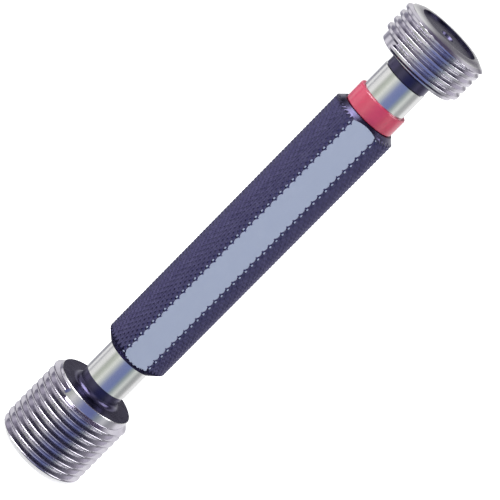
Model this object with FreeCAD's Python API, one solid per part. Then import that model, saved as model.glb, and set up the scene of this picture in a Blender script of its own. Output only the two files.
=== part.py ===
import FreeCAD, Part
import math
import os
from FreeCAD import Vector

# Double-ended thread plug gauge for a right-hand G 1/2 pipe thread, in millimetres.
# It stands on the front face of its GO end, with +Z up along the axis of the gauge.

# Thread: 55 degree form, 14 turns to the inch.
thread_major = 20.955
thread_pitch = 1.814
flank_angle = 27.5            # each flank, from a plane across the axis
depth_per_pitch = 0.640327    # depth of the basic form
nogo_crest_cut = 0.24         # the NO-GO crest is ground down by this much all round
nogo_pitch_gain = 0.142       # the NO-GO pitch diameter is larger by the tolerance of the thread
ridge_sink = 0.15             # how far the ridge is rooted in the core

# Gauging heads.
go_head_length = 18.6
nogo_head_length = 9.5
front_land = 0.05             # plain land between the front bevel and the first turn
go_back_land = 0.43           # plain land between the last turn and the back chamfer
nogo_back_land = 0.08
bevel_height = 0.5            # front bevel, ground where the first turn is taken off
bevel_depth = 1.1
back_chamfer = 0.12
recess_diameter = 14.2        # unground middle of the front face
recess_depth = 0.5

# Centre hole in each front face.
centre_mouth_diameter = 3.4
centre_pilot_diameter = 1.6
centre_pilot_depth = 4.0
centre_angle = 60.0
drill_point_angle = 118.0

# Necks and shanks.
shank_diameter = 10.5
neck_undercut = 0.2
neck_length = 3.0
neck_flare = 0.8              # where the neck widens into the back face of the head
go_shank_length = 8.3         # bright shank between the neck and the handle
nogo_shank_length = 6.45      # bright shank between the neck and the ring
taper_rate = 1.0 / 50.0       # on diameter, inside the handle
taper_length = 30.0
taper_end_chamfer = 0.5

# Handle.
handle_diameter = 15.35
handle_length = 71.95
go_end_rim = 0.665            # flat ring left round the socket; the rest of the end is bevelled
nogo_end_rim = 1.115
flats_across = 13.7
socket_relief = 2.0           # air left beyond the end of each taper
taper_clearance = 0.01

# Coloured ring that marks the NO-GO end.
ring_diameter = 12.0
ring_length = 4.5
ring_edge = 0.3               # chamfer on both outer edges
ring_clearance = 0.03

long_taper = 10               # a slope this many times as long as its rise is a long taper

# Turn of each member in its socket, about its own axis, in degrees.
go_seat_turn = -62.5
nogo_seat_turn = 160.5

# Derived sizes.
thread_depth = depth_per_pitch * thread_pitch
core_radius = thread_major / 2 - thread_depth
pitch_radius = thread_major / 2 - thread_depth / 2
shank_radius = shank_diameter / 2
neck_radius = shank_radius - neck_undercut
handle_bottom = go_head_length + neck_length + go_shank_length
handle_top = handle_bottom + handle_length
ring_top = handle_top + ring_length
gauge_length = ring_top + nogo_shank_length + neck_length + nogo_head_length


def cone_height(rise, included_angle):
    """Axial length over which a cone of this included angle changes radius by rise."""
    return rise / math.tan(math.radians(included_angle / 2))


def turned(outline):
    """Solid of revolution about Z, from the corners (r, z) of its outline. A long taper is
    drawn as a spline, because its turned face then needs a tenth of the facets of a cone."""
    edges = []
    for start, end in zip(outline, outline[1:] + outline[:1]):
        edge = Part.LineSegment(Vector(start[0], 0, start[1]), Vector(end[0], 0, end[1]))
        if 0 < long_taper * abs(end[0] - start[0]) < abs(end[1] - start[1]):
            edge = edge.toBSpline()
        edges.append(edge.toShape())
    face = Part.Face(Part.Wire(edges))
    return face.revolve(Vector(0, 0, 0), Vector(0, 0, 1), 360)


def half_width(radius, ridge_pitch_radius):
    """Half the axial width of the thread ridge at this radius."""
    slope = math.tan(math.radians(flank_angle))
    return thread_pitch / 4 - (radius - ridge_pitch_radius) * slope


def ridge(crest_radius, ridge_pitch_radius, first_height, last_height):
    """Thread ridge of even section, cut off square in a plane through the axis at both ends.
    The heights are those of the middle of the ridge at its two ends. Each flank is drawn in
    two strips that meet at the pitch radius, because narrow strips twist less."""
    radii = [core_radius - ridge_sink, ridge_pitch_radius, crest_radius]
    lower = [(r, -half_width(r, ridge_pitch_radius)) for r in radii]
    upper = [(r, -z) for r, z in reversed(lower)]
    points = [Vector(r, 0, first_height + z) for r, z in lower + upper]
    section = Part.makePolygon(points + points[:1])
    path = Part.makeHelix(thread_pitch, last_height - first_height, ridge_pitch_radius)
    path.translate(Vector(0, 0, first_height))
    sweep = Part.BRepOffsetAPI.MakePipeShell(Part.Wire(path.Edges))
    sweep.setFrenetMode(True)
    sweep.add(section)
    sweep.build()
    sweep.makeSolid()
    return sweep.shape()


def member(head_length, crest_radius, ridge_pitch_radius, back_land, reach):
    """One gauging member in its own frame: front face at z = 0, taper upwards.
    reach is the length of bright shank between the neck and the face of the handle."""
    mouth = centre_mouth_diameter / 2
    pilot = centre_pilot_diameter / 2
    pilot_top = recess_depth + cone_height(mouth - pilot, centre_angle)
    pilot_end = recess_depth + centre_pilot_depth
    shank_start = head_length + neck_length
    socket_face = shank_start + reach
    end = socket_face + taper_length
    end_radius = shank_radius - taper_rate / 2 * (taper_length - taper_end_chamfer)
    body = turned([
        (0, pilot_end + cone_height(pilot, drill_point_angle)),
        (pilot, pilot_end),
        (pilot, pilot_top),
        (mouth, recess_depth),
        (recess_diameter / 2, recess_depth),
        (recess_diameter / 2, 0),
        (core_radius - bevel_depth, 0),
        (core_radius, bevel_height),
        (core_radius, head_length - back_chamfer),
        (core_radius - back_chamfer, head_length),
        (neck_radius + neck_flare, head_length),
        (neck_radius, head_length + neck_flare),
        (neck_radius, shank_start),
        (shank_radius, shank_start + neck_undercut),
        (shank_radius, socket_face),
        (end_radius, end - taper_end_chamfer),
        (end_radius - taper_end_chamfer, end),
        (0, end),
    ])
    base = half_width(core_radius, ridge_pitch_radius)
    thread = ridge(crest_radius, ridge_pitch_radius, bevel_height + front_land + base,
                   head_length - back_chamfer - back_land - base)
    return body.fuse(thread)


def handle():
    """Turned bar with a tapered socket in each end and a flat milled along two sides."""
    depth = taper_length + socket_relief
    mouth = shank_radius + taper_clearance
    end_radius = mouth - taper_rate / 2 * depth
    radius = handle_diameter / 2
    go_face = mouth + go_end_rim
    nogo_face = mouth + nogo_end_rim
    bar = turned([
        (0, handle_bottom + depth),
        (end_radius, handle_bottom + depth),
        (mouth, handle_bottom),
        (go_face, handle_bottom),
        (radius, handle_bottom + radius - go_face),
        (radius, handle_top - radius + nogo_face),
        (nogo_face, handle_top),
        (mouth, handle_top),
        (end_radius, handle_top - depth),
        (0, handle_top - depth),
    ])
    slab = Part.makeBox(handle_diameter, flats_across, handle_length,
                        Vector(-radius, -flats_across / 2, handle_bottom))
    return bar.common(slab)


def marker_ring():
    """Plastic ring on the NO-GO shank, against the face of the handle."""
    outer = ring_diameter / 2
    bore = shank_radius + ring_clearance
    return turned([
        (bore, handle_top),
        (outer - ring_edge, handle_top),
        (outer, handle_top + ring_edge),
        (outer, ring_top - ring_edge),
        (outer - ring_edge, ring_top),
        (bore, ring_top),
    ])


def go_member():
    """Full-form member, front face down at the bottom of the gauge."""
    shape = member(go_head_length, thread_major / 2, pitch_radius, go_back_land,
                   go_shank_length)
    shape.rotate(Vector(0, 0, 0), Vector(0, 0, 1), go_seat_turn)
    return shape


def nogo_member():
    """Short member with cut-down crests, upside down at the top of the gauge."""
    shape = member(nogo_head_length, thread_major / 2 - nogo_crest_cut,
                   pitch_radius + nogo_pitch_gain / 2, nogo_back_land,
                   nogo_shank_length + ring_length)
    shape.rotate(Vector(0, 0, 0), Vector(0, 0, 1), nogo_seat_turn)
    shape.rotate(Vector(0, 0, 0), Vector(1, 0, 0), 180)
    shape.translate(Vector(0, 0, gauge_length))
    return shape


nodes = {
    "go_member": go_member,
    "nogo_member": nogo_member,
    "handle": handle,
    "nogo_ring": marker_ring,
}

os.makedirs("parts", exist_ok=True)
for name, make in nodes.items():
    shape = make()
    if len(shape.Solids) != 1 or not shape.isValid():
        raise ValueError(name + " is not one valid solid")
    shape.Solids[0].exportStep("parts/" + name + ".step")
    print(name, "volume", round(shape.Volume, 1), "faces", len(shape.Faces))
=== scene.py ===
import math

import bmesh
import bpy
from mathutils import Matrix, Quaternion, Vector


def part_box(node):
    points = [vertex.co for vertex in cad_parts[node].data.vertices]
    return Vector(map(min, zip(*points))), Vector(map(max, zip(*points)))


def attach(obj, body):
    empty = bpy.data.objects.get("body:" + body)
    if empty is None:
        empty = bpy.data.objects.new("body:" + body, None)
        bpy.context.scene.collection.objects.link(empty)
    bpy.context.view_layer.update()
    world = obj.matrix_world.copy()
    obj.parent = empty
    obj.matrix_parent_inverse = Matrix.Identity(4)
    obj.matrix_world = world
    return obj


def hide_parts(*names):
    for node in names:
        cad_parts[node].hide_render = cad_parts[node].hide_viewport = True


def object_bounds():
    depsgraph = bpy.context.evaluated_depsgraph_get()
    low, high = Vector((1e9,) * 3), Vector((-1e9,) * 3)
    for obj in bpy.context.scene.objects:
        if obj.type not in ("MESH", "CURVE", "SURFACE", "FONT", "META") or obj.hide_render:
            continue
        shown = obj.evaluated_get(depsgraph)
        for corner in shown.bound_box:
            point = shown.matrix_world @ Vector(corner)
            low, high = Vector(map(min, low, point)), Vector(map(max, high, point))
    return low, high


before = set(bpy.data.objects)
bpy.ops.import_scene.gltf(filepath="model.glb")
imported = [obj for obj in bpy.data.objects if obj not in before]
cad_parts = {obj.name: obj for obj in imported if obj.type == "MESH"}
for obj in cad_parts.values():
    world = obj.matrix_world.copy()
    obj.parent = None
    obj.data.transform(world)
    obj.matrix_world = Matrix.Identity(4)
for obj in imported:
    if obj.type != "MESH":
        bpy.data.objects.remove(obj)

cad_low, cad_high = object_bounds()
MM = 0.001

# Sizes of the gauge, in metres. Heights of a member are counted from its own front face.
THREAD_PITCH = 1.814 * MM
THREAD_MAJOR = 20.955 * MM
THREAD_DEPTH = 0.640327 * THREAD_PITCH
FLANK_SLOPE = math.tan(math.radians(27.5))
CORE_RADIUS = THREAD_MAJOR / 2 - THREAD_DEPTH
PITCH_RADIUS = THREAD_MAJOR / 2 - THREAD_DEPTH / 2
ROOT_ROUND = 0.2 * MM
BEVEL_ROUND = 0.05 * MM       # where the bevel cuts through the first turn
BEVEL_HEIGHT = 0.5 * MM
BEVEL_DEPTH = 1.1 * MM
BACK_CHAMFER = 0.12 * MM
RECESS_RADIUS = 7.1 * MM
RECESS_DEPTH = 0.5 * MM
CENTRE_MOUTH = 1.7 * MM
CENTRE_PILOT = 0.8 * MM
CENTRE_DEPTH = 4.0 * MM
CENTRE_HALF_ANGLE = math.radians(30)
DRILL_HALF_ANGLE = math.radians(59)
SHANK_RADIUS = 5.25 * MM
NECK_UNDERCUT = 0.2 * MM
NECK_LENGTH = 3.0 * MM
NECK_FILLET = 1.2 * MM
TAPER_LENGTH = 30.0 * MM
TAPER_RATE = 0.01
TAPER_CHAMFER = 0.5 * MM

AROUND = 144                  # facets round a member
ACROSS = 36                   # facets across one pitch of the thread

MEMBERS = {
    "go_member": dict(head=18.6 * MM, crest_cut=0.0, pitch_gain=0.0, front_land=0.05 * MM,
                      back_land=0.43 * MM, crest_round=0.30 * MM, shank=8.3 * MM,
                      run_in=1.1, seat_turn=-62.5),
    "nogo_member": dict(head=9.5 * MM, crest_cut=0.24 * MM, pitch_gain=0.071 * MM,
                        front_land=0.05 * MM, back_land=0.08 * MM, crest_round=0.12 * MM,
                        shank=10.95 * MM, run_in=0.76, seat_turn=160.5),
}

# Knurl of the handle: two crossing families of helical grooves.
KNURL_STARTS = 45
KNURL_STEP = 1.838 * MM       # along the axis, from one diamond to the next
KNURL_DEPTH = 0.34 * MM
KNURL_TOP = 0.2               # share of a diamond's width that is left blunt on its tip
GO_END_CHAMFER = 1.75 * MM
NOGO_END_CHAMFER = 1.3 * MM
CHAMFER_KNURL = 0.8           # how much of the GO end chamfer the knurl follows
SOCKET_LIP = 0.3 * MM         # faces this near the shank belong to the sockets and are smooth

# Marker ring.
RING_CLEARANCE = 0.03 * MM
RING_ROUND = 0.3 * MM


# ---------------------------------------------------------------- node trees


class Tree:
    """Adds nodes to a shader or geometry tree; values become sockets that do arithmetic."""

    def __init__(self, tree):
        self.tree = tree

    def node(self, kind, settings=None, out=0, **inputs):
        """A node with its settings, then its inputs by name (spaces as _) or as _0, _1."""
        made = self.tree.nodes.new(kind)
        for key, value in (settings or {}).items():
            setattr(made, key, value)
        for key, value in inputs.items():
            name = key.lstrip("_")
            if name.isdigit():
                socket = made.inputs[int(name)]
            else:
                socket = made.inputs[name.replace("_", " ")]
            self.feed(socket, value)
        return made if out is None else Value(self, made.outputs[out])

    def feed(self, socket, value):
        if isinstance(value, Value):
            self.tree.links.new(value.socket, socket)
        else:
            socket.default_value = value

    def math(self, operation, *values):
        return self.node("ShaderNodeMath", {"operation": operation},
                         **{"_%d" % i: v for i, v in enumerate(values)})


class Value:
    """A socket that carries a number."""

    def __init__(self, maker, socket):
        self.maker = maker
        self.socket = socket

    def __add__(self, other):
        return self.maker.math("ADD", self, other)

    def __sub__(self, other):
        return self.maker.math("SUBTRACT", self, other)

    def __rsub__(self, other):
        return self.maker.math("SUBTRACT", other, self)

    def __mul__(self, other):
        return self.maker.math("MULTIPLY", self, other)

    def __truediv__(self, other):
        return self.maker.math("DIVIDE", self, other)

    def __rtruediv__(self, other):
        return self.maker.math("DIVIDE", other, self)

    def __mod__(self, other):
        return self.maker.math("FLOORED_MODULO", self, other)

    def __lt__(self, other):
        return self.maker.math("LESS_THAN", self, other)

    def __gt__(self, other):
        return self.maker.math("GREATER_THAN", self, other)

    __radd__ = __add__
    __rmul__ = __mul__


def geometry_tree(name, inputs):
    """A geometry tree with named number inputs; gives the maker and a dict of its inputs."""
    tree = bpy.data.node_groups.new(name, "GeometryNodeTree")
    for label, kind in inputs:
        tree.interface.new_socket(label, in_out="INPUT", socket_type="NodeSocket" + kind)
    tree.interface.new_socket("Geometry", in_out="OUTPUT", socket_type="NodeSocketGeometry")
    maker = Tree(tree)
    group = tree.nodes.new("NodeGroupInput")
    return maker, {label: Value(maker, group.outputs[label]) for label, kind in inputs}


def finish_tree(maker, geometry, material):
    """Ends the tree in Realize Instances and Set Material."""
    real = maker.node("GeometryNodeRealizeInstances", Geometry=geometry)
    dressed = maker.node("GeometryNodeSetMaterial", Geometry=real, Material=material)
    out = maker.tree.nodes.new("NodeGroupOutput")
    maker.feed(out.inputs["Geometry"], dressed)


def grown(name, tree, values):
    """The plain mesh that a geometry tree makes with these input values."""
    holder = bpy.data.objects.new(name, bpy.data.meshes.new(name))
    bpy.context.scene.collection.objects.link(holder)
    modifier = holder.modifiers.new("grow", "NODES")
    modifier.node_group = tree
    for item in tree.interface.items_tree:
        if item.in_out == "INPUT":
            modifier[item.identifier] = values[item.name]
    holder.update_tag()
    graph = bpy.context.evaluated_depsgraph_get()
    mesh = bpy.data.meshes.new_from_object(holder.evaluated_get(graph))
    holder.modifiers.clear()
    bpy.data.objects.remove(holder)
    return mesh


# ---------------------------------------------------------------- materials


def material(name, **fixed):
    """A node material; gives the material, its tree maker and its Principled shader."""
    made = bpy.data.materials.new(name)
    made.use_nodes = True
    maker = Tree(made.node_tree)
    shader = made.node_tree.nodes["Principled BSDF"]
    for key, value in fixed.items():
        shader.inputs[key.replace("_", " ")].default_value = value
    return made, maker, shader


def object_place(maker):
    """Object coordinates, in which the patterns of the finishes lie."""
    return maker.node("ShaderNodeTexCoord", None, "Object")


def noise(maker, place, scale, detail=3.0, stretch=None):
    """Noise between 0 and 1 on object coordinates, in cycles a millimetre."""
    if stretch:
        place = maker.node("ShaderNodeMapping", {}, Vector=place, Scale=stretch)
    return maker.node("ShaderNodeTexNoise", {}, Vector=place, Scale=scale / MM, Detail=detail)


def spread(maker, value, low, high, new_low, new_high):
    """The value, moved from one range to another and held inside it."""
    return maker.node("ShaderNodeMapRange", {}, Value=value, From_Min=low, From_Max=high,
                      To_Min=new_low, To_Max=new_high)


def blend_colour(maker, factor, first, second):
    """A colour between the first and the second."""
    mixed = maker.node("ShaderNodeMix", {"data_type": "RGBA"}, None)
    maker.feed(mixed.inputs[0], factor)
    maker.feed(mixed.inputs[6], first)
    maker.feed(mixed.inputs[7], second)
    return Value(maker, mixed.outputs[2])


def ground_steel():
    """Bright steel, ground round the axis: fine rings of grind marks and faint clouding."""
    made, maker, shader = material("ground_steel", Metallic=1.0)
    place = object_place(maker)
    rings = noise(maker, place, 1.0, 2.0, stretch=(0.6, 0.6, 14.0))
    cloud = noise(maker, place, 0.16)
    maker.feed(shader.inputs["Base Color"],
               blend_colour(maker, cloud, (0.70, 0.70, 0.71, 1), (0.82, 0.82, 0.82, 1)))
    maker.feed(shader.inputs["Roughness"], spread(maker, rings, 0.3, 0.7, 0.16, 0.26))
    bump = maker.node("ShaderNodeBump", {}, Height=rings, Strength=0.04, Distance=0.02 * MM)
    maker.feed(shader.inputs["Normal"], bump)
    return made


def shaded_thread_steel():
    """Ground thread, as glossy as the shank: its colour is a darker, purple copy of the shank's
    steel, painted shade for the dark flanks of the thread, with random clouding.
    """
    made, maker, shader = material("shaded_thread_steel", Metallic=1.0)
    place = object_place(maker)
    cloud = noise(maker, place, 0.3)
    # painted shade: this darker, purple colour on the whole thread stands in for the shade and
    # dark reflections in its flanks
    maker.feed(shader.inputs["Base Color"],
               blend_colour(maker, cloud, (0.48, 0.45, 0.54, 1), (0.76, 0.74, 0.80, 1)))
    fine = noise(maker, place, 3.0)
    maker.feed(shader.inputs["Roughness"], spread(maker, fine, 0.3, 0.7, 0.12, 0.22))
    return made


def blackened_steel():
    """Black oxide left from hardening, with a purple cast."""
    made, maker, shader = material("blackened_steel", Metallic=1.0)
    place = object_place(maker)
    cloud = noise(maker, place, 0.5)
    maker.feed(shader.inputs["Base Color"],
               blend_colour(maker, cloud, (0.050, 0.040, 0.095, 1), (0.105, 0.10, 0.165, 1)))
    maker.feed(shader.inputs["Roughness"], spread(maker, cloud, 0.3, 0.7, 0.22, 0.36))
    return made


def knurled_steel():
    """Blue-black oxide on the diamonds, clouded a little lighter and darker at random."""
    made, maker, shader = material("knurled_steel", Metallic=0.9)
    place = object_place(maker)
    cloud = noise(maker, place, 0.8)
    maker.feed(shader.inputs["Base Color"],
               blend_colour(maker, cloud, (0.045, 0.04, 0.12, 1), (0.13, 0.12, 0.25, 1)))
    maker.feed(shader.inputs["Roughness"], spread(maker, cloud, 0.3, 0.7, 0.12, 0.22))
    return made


def milled_steel():
    """The smooth flats, blued lightly."""
    made, maker, shader = material("milled_steel", Metallic=0.55)
    place = object_place(maker)
    marks = noise(maker, place, 1.0, 2.0, stretch=(9.0, 1.0, 0.25))
    maker.feed(shader.inputs["Base Color"],
               blend_colour(maker, marks, (0.50, 0.56, 0.66, 1), (0.56, 0.61, 0.70, 1)))
    maker.feed(shader.inputs["Roughness"], spread(maker, marks, 0.3, 0.7, 0.34, 0.42))
    return made


def red_plastic():
    """Glossy moulded red of the marker ring, clouded a little."""
    made, maker, shader = material("red_plastic", IOR=1.8)
    place = object_place(maker)
    cloud = noise(maker, place, 0.6)
    maker.feed(shader.inputs["Base Color"],
               blend_colour(maker, cloud, (0.42, 0.028, 0.078, 1), (0.50, 0.04, 0.09, 1)))
    maker.feed(shader.inputs["Roughness"], spread(maker, cloud, 0.3, 0.7, 0.16, 0.24))
    return made


# ---------------------------------------------------------------- shapes


def arc(centre, radius, start, end, steps):
    """Points (r, z) of an arc about centre, with its angles in degrees."""
    points = []
    for i in range(steps + 1):
        angle = math.radians(start + (end - start) * i / steps)
        points.append((centre[0] + radius * math.cos(angle),
                       centre[1] + radius * math.sin(angle)))
    return points


def spin(mesh, outline, finishes):
    """Adds the surface of revolution of an outline [(r, z), ...] to a bmesh; finishes gives
    the material number of each stretch between two points."""
    rings = []
    for radius, height in outline:
        if radius == 0:
            rings.append([mesh.verts.new((0, 0, height))] * AROUND)
            continue
        ring = []
        for i in range(AROUND):
            angle = 2 * math.pi * i / AROUND
            ring.append(mesh.verts.new((radius * math.cos(angle), radius * math.sin(angle),
                                        height)))
        rings.append(ring)
    for lower, upper, finish in zip(rings, rings[1:], finishes):
        for i in range(AROUND):
            j = (i + 1) % AROUND
            corners = [lower[i], lower[j], upper[j], upper[i]]
            corners = [c for n, c in enumerate(corners) if c not in corners[:n]]
            mesh.faces.new(corners).material_index = finish


def thread_tree(finish):
    """Geometry tree of the threaded band: a ribbon one pitch wide that winds up the core and
    carries the ridge in its middle, squeezed flat against the plain land at both ends."""
    maker, size = geometry_tree("thread_band", [
        ("Core radius", "Float"), ("Crest height", "Float"), ("Foot half width", "Float"),
        ("Flank slope", "Float"), ("Crest rounding", "Float"), ("Root rounding", "Float"),
        ("Pitch", "Float"), ("Low edge", "Float"), ("High edge", "Float"),
        ("Bevel slope", "Float"),
        ("First turn height", "Float"), ("Start angle", "Float"), ("Ridge steps", "Int"),
        ("Lead-in steps", "Int"), ("Steps in all", "Int"), ("Steps a turn", "Int"),
        ("Rows", "Int")])
    grid = maker.node("GeometryNodeMeshGrid", None, "Mesh", Vertices_X=size["Steps in all"],
                      Vertices_Y=size["Rows"])
    index = maker.node("GeometryNodeInputIndex")
    column = maker.math("FLOOR", (index + 0.5) / size["Rows"])
    row = index - column * size["Rows"]
    start = size["Lead-in steps"]
    end = start + size["Ridge steps"] + 1
    on_ridge = (column > start + 0.5) * (column < end + 0.5)
    step = column - start - (column > start + 0.5) - (column > end + 0.5)
    turn = step / size["Steps a turn"]
    across = (row / (size["Rows"] - 1) - 0.5) * size["Pitch"]
    flank = (size["Foot half width"] - maker.math("ABSOLUTE", across)) / size["Flank slope"]
    ridge = maker.math("SMOOTH_MIN", flank, size["Crest height"], size["Crest rounding"])
    ridge = maker.math("SMOOTH_MAX", ridge, 0.0, size["Root rounding"])
    free = size["First turn height"] + turn * size["Pitch"] + across
    height = maker.math("MINIMUM", maker.math("MAXIMUM", free, size["Low edge"]),
                        size["High edge"])
    inside = (free > size["Low edge"]) * (free < size["High edge"])
    bevel = maker.math("MAXIMUM", height - size["Low edge"], 0.0) * size["Bevel slope"]
    ridge = maker.math("SMOOTH_MIN", ridge, bevel, BEVEL_ROUND)
    ridge = maker.math("MAXIMUM", ridge, 0.0)
    radius = size["Core radius"] + ridge * on_ridge * inside
    angle = size["Start angle"] + turn * (2 * math.pi)
    place = maker.node("ShaderNodeCombineXYZ", None, X=radius * maker.math("COSINE", angle),
                       Y=radius * maker.math("SINE", angle), Z=height)
    moved = maker.node("GeometryNodeSetPosition", None, Geometry=grid, Position=place)
    merged = maker.node("GeometryNodeMergeByDistance", None, Geometry=moved,
                        Distance=0.0005 * MM)
    finish_tree(maker, merged, finish)
    return maker.tree


def member_mesh(name, spec, finishes, tree):
    """One gauging member as a closed mesh in its own frame, front face at height 0."""
    head = spec["head"]
    low, high = BEVEL_HEIGHT, head - BACK_CHAMFER
    ridge_pitch_radius = PITCH_RADIUS + spec["pitch_gain"]
    foot = THREAD_PITCH / 4 + (ridge_pitch_radius - CORE_RADIUS) * FLANK_SLOPE
    first = low + spec["front_land"] + foot - spec["run_in"] * THREAD_PITCH
    last = high - spec["back_land"] - foot
    ridge_steps = round((last - first) / THREAD_PITCH * AROUND)
    lead_in = max(0, math.ceil((first - low + THREAD_PITCH / 2) / THREAD_PITCH * AROUND))
    lead_out = math.ceil((high - last + THREAD_PITCH / 2) / THREAD_PITCH * AROUND)
    band = grown(name + "_thread", tree, {
        "Core radius": CORE_RADIUS, "Crest height": THREAD_DEPTH - spec["crest_cut"],
        "Foot half width": foot, "Flank slope": FLANK_SLOPE,
        "Crest rounding": spec["crest_round"], "Root rounding": ROOT_ROUND,
        "Pitch": THREAD_PITCH, "Low edge": low, "High edge": high,
        "First turn height": first, "Start angle": -spec["run_in"] * 2 * math.pi,
        "Bevel slope": BEVEL_DEPTH / BEVEL_HEIGHT, "Ridge steps": ridge_steps,
        "Lead-in steps": lead_in, "Steps in all": lead_in + ridge_steps + lead_out + 3,
        "Steps a turn": AROUND, "Rows": ACROSS + 1})
    mesh = bmesh.new()
    mesh.from_mesh(band)
    for face in mesh.faces:
        face.material_index = 1
    bright, dark = 0, 2
    pilot_top = RECESS_DEPTH + (CENTRE_MOUTH - CENTRE_PILOT) / math.tan(CENTRE_HALF_ANGLE)
    pilot_end = RECESS_DEPTH + CENTRE_DEPTH
    front = [(0, pilot_end + CENTRE_PILOT / math.tan(DRILL_HALF_ANGLE)),
             (CENTRE_PILOT, pilot_end), (CENTRE_PILOT, pilot_top),
             (CENTRE_MOUTH, RECESS_DEPTH), (RECESS_RADIUS, RECESS_DEPTH),
             (RECESS_RADIUS, 0), (CORE_RADIUS - BEVEL_DEPTH, 0), (CORE_RADIUS, low)]
    spin(mesh, front, [dark] * 5 + [bright] * 2)
    neck = SHANK_RADIUS - NECK_UNDERCUT
    shank_start = head + NECK_LENGTH
    end = shank_start + spec["shank"] + TAPER_LENGTH
    end_radius = SHANK_RADIUS - TAPER_RATE * (TAPER_LENGTH - TAPER_CHAMFER)
    fillet = arc((neck + NECK_FILLET, head + NECK_FILLET), NECK_FILLET, -90, -180, 10)
    back = [(CORE_RADIUS, high), (CORE_RADIUS - BACK_CHAMFER, head)] + fillet
    tones = [bright] + [dark] * (len(fillet) + 1) + [bright] * 5
    back += [(neck, shank_start), (SHANK_RADIUS, shank_start + NECK_UNDERCUT),
             (SHANK_RADIUS, shank_start + spec["shank"]), (end_radius, end - TAPER_CHAMFER),
             (end_radius - TAPER_CHAMFER, end), (0, end)]
    spin(mesh, back, tones)
    bmesh.ops.remove_doubles(mesh, verts=mesh.verts, dist=0.001 * MM)
    bmesh.ops.dissolve_degenerate(mesh, edges=mesh.edges, dist=0.0001 * MM)
    bmesh.ops.recalc_face_normals(mesh, faces=mesh.faces)
    result = bpy.data.meshes.new(name + "_finished")
    mesh.to_mesh(result)
    mesh.free()
    for finish in finishes:
        result.materials.append(finish)
    return result


def piece(name, mesh, node, sharp_angle):
    """Puts a finished mesh in the scene in place of its CAD node."""
    made = bpy.data.objects.new(name, mesh)
    bpy.context.scene.collection.objects.link(made)
    mesh.shade_smooth()
    mesh.set_sharp_from_angle(angle=math.radians(sharp_angle))
    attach(made, "root")
    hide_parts(node)
    return made


def knurl_tree(finish):
    """Geometry tree of the knurl: one blunt pyramid for each crossing of the grooves, laid
    out flat as (turn, height, rise) and then rolled round the axis."""
    maker, size = geometry_tree("knurl", [
        ("Starts", "Int"), ("Step", "Float"), ("Rows", "Int"), ("Tip radius", "Float"),
        ("Depth", "Float"), ("Blunt share", "Float"), ("Bottom", "Float"),
        ("Chamfer top", "Float"), ("Chamfer slope", "Float"), ("Chamfer reach", "Float")])
    index = maker.node("GeometryNodeInputIndex")
    half_turn = math.pi / size["Starts"]
    # the pyramid, from a grid of 4 x 4 points on the two groove directions
    tile = maker.node("GeometryNodeMeshGrid", None, "Mesh", Vertices_X=4, Vertices_Y=4)
    column = maker.math("FLOOR", (index + 0.5) / 4.0)
    row = index - column * 4.0
    side = 0.5 - size["Blunt share"] / 2.0

    def across(step):
        return ((step > 0.5) * side + (step > 1.5) * size["Blunt share"] + (step > 2.5) * side
                - 0.5)

    on_tip = (column > 0.5) * (column < 2.5) * (row > 0.5) * (row < 2.5)
    first, second = across(column), across(row)
    flat = maker.node("ShaderNodeCombineXYZ", None, X=(first - second) * half_turn,
                      Y=(first + second) * size["Step"] / 2.0, Z=on_tip * size["Depth"])
    tile = maker.node("GeometryNodeSetPosition", None, Geometry=tile, Position=flat)
    # where the pyramids stand
    spots = maker.node("GeometryNodeMeshGrid", None, "Mesh", Vertices_X=size["Starts"],
                       Vertices_Y=size["Rows"])
    column = maker.math("FLOOR", (index + 0.5) / size["Rows"])
    row = index - column * size["Rows"]
    flat = maker.node("ShaderNodeCombineXYZ", None, X=(column * 2.0 + row % 2.0) * half_turn,
                      Y=size["Bottom"] + row * size["Step"] / 2.0, Z=0.0)
    spots = maker.node("GeometryNodeSetPosition", None, Geometry=spots, Position=flat)
    laid = maker.node("GeometryNodeInstanceOnPoints", None, Points=spots, Instance=tile)
    laid = maker.node("GeometryNodeRealizeInstances", None, Geometry=laid)
    # rolled round the axis, and turned down over the chamfer of the GO end
    place = maker.node("GeometryNodeInputPosition")
    parts = maker.node("ShaderNodeSeparateXYZ", None, None, Vector=place)
    turn, height, rise = [Value(maker, parts.outputs[k]) for k in range(3)]
    below = maker.math("MAXIMUM", size["Chamfer top"] - height, 0.0)
    drop = maker.math("MINIMUM", below, size["Chamfer reach"]) * size["Chamfer slope"]
    radius = size["Tip radius"] - size["Depth"] + rise - drop
    rolled = maker.node("ShaderNodeCombineXYZ", None, X=radius * maker.math("COSINE", turn),
                        Y=radius * maker.math("SINE", turn), Z=height)
    laid = maker.node("GeometryNodeSetPosition", None, Geometry=laid, Position=rolled)
    merged = maker.node("GeometryNodeMergeByDistance", None, Geometry=laid,
                        Distance=0.002 * MM)
    finish_tree(maker, merged, finish)
    return maker.tree


def knurled_blank(radius, bottom, top, finish):
    """Closed knurled bar, longer than the handle at both ends."""
    rows = math.ceil((top - bottom) / KNURL_STEP * 2) + 6
    mesh = bmesh.new()
    mesh.from_mesh(grown("knurl", knurl_tree(finish), {
        "Starts": KNURL_STARTS, "Step": KNURL_STEP, "Rows": rows, "Tip radius": radius,
        "Depth": KNURL_DEPTH, "Blunt share": KNURL_TOP,
        "Bottom": bottom - 1.5 * KNURL_STEP, "Chamfer top": bottom + GO_END_CHAMFER,
        "Chamfer slope": CHAMFER_KNURL, "Chamfer reach": 1.4 * GO_END_CHAMFER}))
    rims = [edge for edge in mesh.edges if len(edge.link_faces) == 1]
    low = mesh.verts.new((0, 0, bottom - 2 * KNURL_STEP))
    high = mesh.verts.new((0, 0, top + 3 * KNURL_STEP))
    for edge in rims:
        a, b = edge.verts
        mesh.faces.new([a, b, low if a.co.z < (bottom + top) / 2 else high])
    bmesh.ops.recalc_face_normals(mesh, faces=mesh.faces)
    result = bpy.data.meshes.new("knurled_blank")
    mesh.to_mesh(result)
    mesh.free()
    return result


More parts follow.
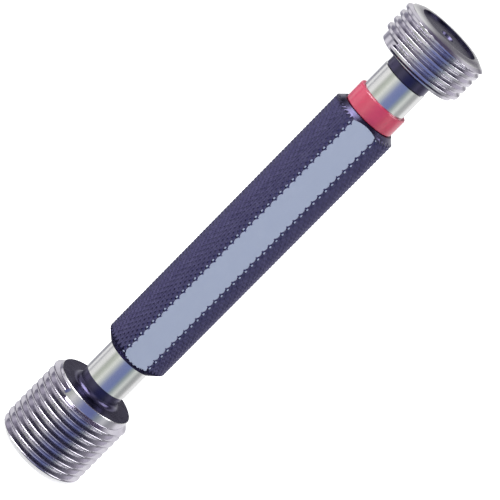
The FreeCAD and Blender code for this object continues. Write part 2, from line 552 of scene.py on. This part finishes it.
def merged_copy(node):
    """A copy of a CAD node's mesh with its corners joined."""
    mesh = bmesh.new()
    mesh.from_mesh(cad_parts[node].data)
    bmesh.ops.remove_doubles(mesh, verts=mesh.verts, dist=0.001 * MM)
    result = bpy.data.meshes.new(node + "_copy")
    mesh.to_mesh(result)
    mesh.free()
    return result


def common(first, second):
    """The mesh of what two closed meshes share."""
    holders = []
    for mesh in (first, second):
        holder = bpy.data.objects.new("cut", mesh)
        bpy.context.scene.collection.objects.link(holder)
        holders.append(holder)
    modifier = holders[0].modifiers.new("cut", "BOOLEAN")
    modifier.operation = "INTERSECT"
    modifier.solver = "EXACT"
    modifier.object = holders[1]
    graph = bpy.context.evaluated_depsgraph_get()
    result = bpy.data.meshes.new_from_object(holders[0].evaluated_get(graph))
    for holder in holders:
        bpy.data.objects.remove(holder)
    return result


def handle_piece(finish_knurl, finish_flat, finish_plain):
    """The handle: the knurled bar cut to the CAD handle, so that its flats, ends, sockets
    and chamfers are left smooth."""
    low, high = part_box("handle")
    radius, flat = high.x, high.y
    blank = knurled_blank(radius, low.z, high.z, finish_knurl)
    mesh = common(blank, merged_copy("handle"))
    mesh.materials.clear()
    for finish in (finish_knurl, finish_flat, finish_plain):
        mesh.materials.append(finish)
    made = piece("knurled_handle", mesh, "handle", 18)
    plain_from = high.z - NOGO_END_CHAMFER
    for polygon in mesh.polygons:
        middle = polygon.center
        across = math.hypot(middle.x, middle.y)
        if abs(abs(middle.y) - flat) < 0.01 * MM and abs(polygon.normal.y) > 0.9:
            polygon.material_index = 1
            polygon.use_smooth = False
        elif middle.z > plain_from or across < SHANK_RADIUS + SOCKET_LIP:
            polygon.material_index = 2
    return made


def ring_piece(finish):
    """The marker ring, with rounded outer edges."""
    low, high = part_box("nogo_ring")
    outer = high.x
    bore = SHANK_RADIUS + RING_CLEARANCE
    edge = RING_ROUND
    mesh = bmesh.new()
    outline = [(bore, low.z)]
    outline += arc((outer - edge, low.z + edge), edge, -90, 0, 8)
    outline += arc((outer - edge, high.z - edge), edge, 0, 90, 8)
    outline += [(bore, high.z), (bore, low.z)]
    spin(mesh, outline, [0] * len(outline))
    bmesh.ops.remove_doubles(mesh, verts=mesh.verts, dist=0.001 * MM)
    bmesh.ops.recalc_face_normals(mesh, faces=mesh.faces)
    result = bpy.data.meshes.new("marker_ring")
    mesh.to_mesh(result)
    mesh.free()
    result.materials.append(finish)
    return piece("marker_ring", result, "nogo_ring", 30)


steel = ground_steel()
thread = shaded_thread_steel()
black = blackened_steel()
band_tree = thread_tree(thread)
gauge_length = cad_high.z
for node, spec in MEMBERS.items():
    mesh = member_mesh(node, spec, (steel, thread, black), band_tree)
    place = Matrix.Rotation(math.radians(spec["seat_turn"]), 4, "Z")
    if node == "nogo_member":
        place = Matrix.Translation((0, 0, gauge_length)) @ Matrix.Rotation(math.pi, 4, "X") @ place
    mesh.transform(place)
    piece(node.replace("member", "gauge"), mesh, node, 40)

handle_piece(knurled_steel(), milled_steel(), black)
ring_piece(red_plastic())


# ---------------------------------------------------------------- studio


def card_ramp(maker, turn, cards):
    """Colour of the cards that stand round the gauge, by their turn from the camera."""
    ramp = maker.node("ShaderNodeValToRGB", None, None)
    maker.feed(ramp.inputs[0], turn)
    stops = ramp.color_ramp.elements
    for position, colour in cards:
        stops.new(0.5 + position / 360).color = (*colour, 1)
    stops.remove(stops[0])
    stops.remove(stops[-1])
    return Value(maker, ramp.outputs["Color"])


def studio_world():
    """White to the eye; bright metal sees cards round the gauge: one row of them at its own
    height, one above it, and dark cloth overhead and below."""
    world = bpy.data.worlds.new("studio")
    bpy.context.scene.world = world
    world.use_nodes = True
    world.node_tree.nodes.clear()
    maker = Tree(world.node_tree)
    direction = maker.node("ShaderNodeTexCoord", None, "Generated")
    parts = maker.node("ShaderNodeSeparateXYZ", None, None, Vector=direction)
    x, y, z = [Value(maker, parts.outputs[k]) for k in range(3)]
    turn = maker.math("ARCTAN2", x, y * -1.0) / (2 * math.pi)      # 0 in front, to the right
    turn = (turn - CAMERA_AZIMUTH / 360 + 0.5) % 1.0
    shown = blend_colour(maker, spread(maker, z, 0.02, 0.22, 0.0, 1.0),
                         card_ramp(maker, turn, LEVEL_CARDS), card_ramp(maker, turn, HIGH_CARDS))
    shown = blend_colour(maker, spread(maker, z, 0.70, 0.84, 0.0, 1.0), shown, OVERHEAD)
    shown = blend_colour(maker, spread(maker, z, -0.55, -0.42, 1.0, 0.0), shown, BELOW)
    path = maker.node("ShaderNodeLightPath", None, None)
    glossy = Value(maker, path.outputs["Is Glossy Ray"])
    camera = Value(maker, path.outputs["Is Camera Ray"])
    through = Value(maker, path.outputs["Is Transmission Ray"])
    seen = blend_colour(maker, glossy, (0.50, 0.51, 0.54, 1), shown)
    seen = blend_colour(maker, maker.math("MAXIMUM", camera, through), seen, (1, 1, 1, 1))
    background = maker.node("ShaderNodeBackground", None, "Background", Color=seen,
                            Strength=1.0)
    out = maker.tree.nodes.new("ShaderNodeOutputWorld")
    maker.feed(out.inputs["Surface"], background)


def studio_floor():
    """Pale floor that keeps the shadow of the gauge and is white elsewhere."""
    mesh = bmesh.new()
    bmesh.ops.create_grid(mesh, x_segments=1, y_segments=1, size=3.0)
    data = bpy.data.meshes.new("floor")
    mesh.to_mesh(data)
    mesh.free()
    floor = bpy.data.objects.new("floor", data)
    bpy.context.scene.collection.objects.link(floor)
    floor.visible_glossy = False
    made, maker, shader = material("pale_floor", Roughness=0.9)
    shader.inputs["Base Color"].default_value = (0.9, 0.9, 0.9, 1)
    shader.inputs["Emission Color"].default_value = (1, 1, 1, 1)
    path = maker.node("ShaderNodeLightPath", None, None)
    maker.feed(shader.inputs["Emission Strength"],
               Value(maker, path.outputs["Is Camera Ray"]) * 0.6)
    data.materials.append(made)
    return floor


def area_light(name, azimuth, elevation, distance, size, power):
    """A soft box that faces the middle of the gauge."""
    light = bpy.data.lights.new(name, "AREA")
    light.shape = "RECTANGLE"
    light.size, light.size_y = size
    light.energy = power
    made = bpy.data.objects.new(name, light)
    bpy.context.scene.collection.objects.link(made)
    back = direction_to(azimuth, elevation)
    centre = (cad_low + cad_high) / 2
    made.location = centre + back * distance
    made.rotation_mode = "QUATERNION"
    made.rotation_quaternion = back.to_track_quat("Z", "Y")
    return made


def direction_to(azimuth, elevation):
    """Unit vector from the gauge, in degrees round from the front and up from level."""
    a, e = math.radians(azimuth), math.radians(elevation)
    return Vector((math.sin(a) * math.cos(e), -math.cos(a) * math.cos(e), math.sin(e)))


CAMERA_AZIMUTH = -11.5
CAMERA_ELEVATION = 15.8
CAMERA_ROLL = 44.74
CAMERA_LENS = 198.9
CAMERA_DISTANCE = 0.570
CAMERA_AIM_HEIGHT = 64.5 * MM
CAMERA_OFFSET = (1.28 * MM, -1.61 * MM)

# Cards round the gauge: (degrees from the camera, colour).
LEVEL_CARDS = [
    (-179, (0.9, 0.9, 0.9)), (-150, (0.5, 0.5, 0.55)), (-134, (0.25, 0.25, 0.3)),
    (-124, (1.0, 1.0, 1.0)), (-110, (1.0, 1.0, 1.0)), (-104, (0.25, 0.25, 0.3)),
    (-96, (0.9, 0.9, 0.9)), (-74, (1.0, 1.0, 0.98)), (-58, (0.50, 0.53, 0.47)),
    (-44, (0.62, 0.66, 0.58)), (-30, (0.95, 0.97, 0.90)), (-16, (0.62, 0.66, 0.66)),
    (4, (0.24, 0.28, 0.52)), (36, (0.20, 0.25, 0.50)), (52, (0.34, 0.40, 0.40)),
    (72, (0.85, 0.88, 0.84)), (88, (0.42, 0.44, 0.44)), (108, (0.5, 0.5, 0.5)),
    (122, (1.0, 1.0, 1.0)), (150, (1.0, 1.0, 1.0)), (179, (0.9, 0.9, 0.9)),
]
HIGH_CARDS = [
    (-179, (0.20, 0.19, 0.22)), (-164, (0.9, 0.9, 0.9)), (-150, (0.9, 0.9, 0.9)),
    (-140, (0.07, 0.06, 0.09)), (-122, (0.10, 0.09, 0.12)), (-112, (1.0, 1.0, 1.0)),
    (-96, (0.8, 0.8, 0.85)), (-84, (0.06, 0.05, 0.09)), (-24, (0.10, 0.09, 0.14)),
    (-10, (0.9, 0.92, 1.0)), (12, (0.9, 0.92, 1.0)), (24, (0.09, 0.08, 0.15)),
    (120, (0.07, 0.06, 0.09)), (140, (1.0, 1.0, 1.0)), (158, (1.0, 1.0, 1.0)),
    (168, (0.2, 0.19, 0.22)), (179, (0.20, 0.19, 0.22)),
]
OVERHEAD = (0.10, 0.08, 0.14, 1)
BELOW = (0.03, 0.03, 0.06, 1)


def studio_camera():
    """The camera, rolled so that the gauge lies across the frame from corner to corner."""
    data = bpy.data.cameras.new("camera")
    data.lens = CAMERA_LENS
    data.sensor_width = 36.0
    camera = bpy.data.objects.new("camera", data)
    bpy.context.scene.collection.objects.link(camera)
    back = direction_to(CAMERA_AZIMUTH, CAMERA_ELEVATION)
    turn = back.to_track_quat("Z", "Y") @ Quaternion((0, 0, 1), math.radians(CAMERA_ROLL))
    right, up = turn @ Vector((1, 0, 0)), turn @ Vector((0, 1, 0))
    camera.rotation_mode = "QUATERNION"
    camera.rotation_quaternion = turn
    aim = Vector((0, 0, CAMERA_AIM_HEIGHT)) + right * CAMERA_OFFSET[0] + up * CAMERA_OFFSET[1]
    camera.location = aim + back * CAMERA_DISTANCE
    data.clip_start, data.clip_end = 0.05, 10
    bpy.context.scene.camera = camera


bpy.context.scene.view_settings.view_transform = "Standard"
studio_world()
studio_floor()
studio_camera()
area_light("key_light", -75, 50, 0.7, (0.5, 0.5), 6)
area_light("fill_light", 70, 35, 0.8, (0.5, 0.5), 3)
